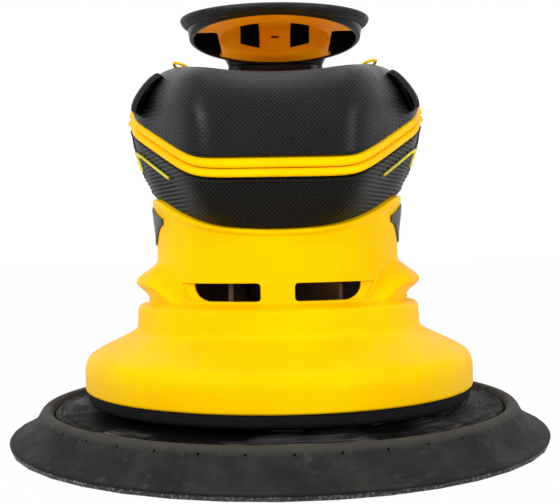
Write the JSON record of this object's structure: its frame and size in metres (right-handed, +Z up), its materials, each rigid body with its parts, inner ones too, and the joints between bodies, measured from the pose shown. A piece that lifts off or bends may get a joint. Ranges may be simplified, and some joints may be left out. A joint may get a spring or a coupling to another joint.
{
  "type": "rotary polisher",
  "caption": "Palm-grip rotary polisher with a flared backing pad, planetary reduction, vertical motor and a hooded air intake on a rear neck.",
  "frame": {"origin": "centre of the working face of the pad, on the spindle axis", "axes": "+Z up along the spindle, -Y is the front of the grip, the neck and the cord gland are at +Y, +X is the right side seen from the front"},
  "size_m": [0.15, 0.164, 0.1313],
  "materials": {
    "yellow_shell": "satin moulded glass-filled nylon, yellow",
    "yellow_trim": "satin moulded plastic, yellow",
    "grip_rubber": "matte over-moulded elastomer with a moulded texture",
    "black_plastic": "fine matte moulded plastic",
    "label": "matte printed film, no lettering",
    "pad_rubber": "dusty matte polyurethane rubber",
    "pad_hooks": "nylon hook face",
    "steel": "ground steel",
    "lamination": "stacked steel laminations",
    "aluminium": "die-cast aluminium",
    "copper": "enamelled copper wire",
    "fan_plastic": "brown phenolic plastic",
    "board": "glass-epoxy board"
  },
  "bodies": {
    "housing": {"lower_shell": "yellow_shell", "upper_shell": "yellow_shell", "lower_grip": "grip_rubber", "upper_grip": "grip_rubber", "grip_strap_left": "grip_rubber", "grip_strap_right": "grip_rubber", "accent_line_left": "yellow_trim", "accent_line_right": "yellow_trim", "side_label_left": "label", "side_label_right": "label", "shoulder_ring_left": "yellow_trim", "shoulder_ring_right": "yellow_trim", "hood_shell": "black_plastic", "hood_rim": "grip_rubber", "hood_liner": "yellow_trim", "neck": "black_plastic", "seal_ring": "grip_rubber", "gear_case": "aluminium", "spindle_bearing": "steel", "ring_gear": "steel", "motor_plate": "aluminium", "lower_bearing": "steel", "upper_bearing": "steel", "stator_core": "lamination", "lower_winding": "copper", "upper_winding": "copper", "bearing_bracket": "aluminium", "case_screw_1": "steel", "case_screw_2": "steel", "case_screw_3": "steel", "case_screw_4": "steel", "control_board": "board", "switch_module": "black_plastic", "cord_gland": "grip_rubber", "lock_spring": "steel"},
    "spindle_set": {"spindle": "steel", "pad_plate": "black_plastic", "backing_pad": "pad_rubber", "pad_face": "pad_hooks", "planet_pin_1": "steel", "planet_pin_2": "steel", "planet_pin_3": "steel"},
    "rotor": {"motor_shaft": "steel", "rotor_core": "lamination", "fan": "fan_plastic", "sun_gear": "steel"},
    "planet_1": {"planet_gear_1": "steel"},
    "planet_2": {"planet_gear_2": "steel"},
    "planet_3": {"planet_gear_3": "steel"},
    "dial": {"speed_dial": "black_plastic"},
    "switch": {"power_switch": "black_plastic"},
    "spindle_lock": {"lock_button": "black_plastic", "lock_pin": "steel"}
  },
  "joints": [
    {"name": "spindle_turn", "type": "hinge", "parent": "housing", "child": "spindle_set", "pos_m": [0, 0, 0.012], "axis": [0, 0, 1], "continuous": true},
    {"name": "rotor_turn", "type": "hinge", "parent": "housing", "child": "rotor", "pos_m": [0, 0, 0.06], "axis": [0, 0, 1], "continuous": true},
    {"name": "planet_1_turn", "type": "hinge", "parent": "spindle_set", "child": "planet_1", "pos_m": [0.015, 0, 0.0236], "axis": [0, 0, 1], "continuous": true},
    {"name": "planet_2_turn", "type": "hinge", "parent": "spindle_set", "child": "planet_2", "pos_m": [-0.0075, 0.01299, 0.0236], "axis": [0, 0, 1], "continuous": true},
    {"name": "planet_3_turn", "type": "hinge", "parent": "spindle_set", "child": "planet_3", "pos_m": [-0.0075, -0.01299, 0.0236], "axis": [0, 0, 1], "continuous": true},
    {"name": "dial_turn", "type": "hinge", "parent": "housing", "child": "dial", "pos_m": [0, 0.049, 0.0974], "axis": [1, 0, 0], "range_deg": [-130, 130]},
    {"name": "switch_slide", "type": "slide", "parent": "housing", "child": "switch", "axis": [0, 1, 0], "range_m": [0, 0.005]},
    {"name": "lock_press", "type": "slide", "parent": "housing", "child": "spindle_lock", "axis": [0, -1, 0], "range_m": [0, 0.003], "stiffness_N_per_m": 900, "springref_m": -0.001, "deforming": ["lock_spring"]}
  ],
  "couplings": [
    {"joint": "rotor_turn", "follows": "spindle_turn", "ratio": 5},
    {"joint": "planet_1_turn", "follows": "spindle_turn", "ratio": -2.6667},
    {"joint": "planet_2_turn", "follows": "spindle_turn", "ratio": -2.6667},
    {"joint": "planet_3_turn", "follows": "spindle_turn", "ratio": -2.6667}
  ]
}
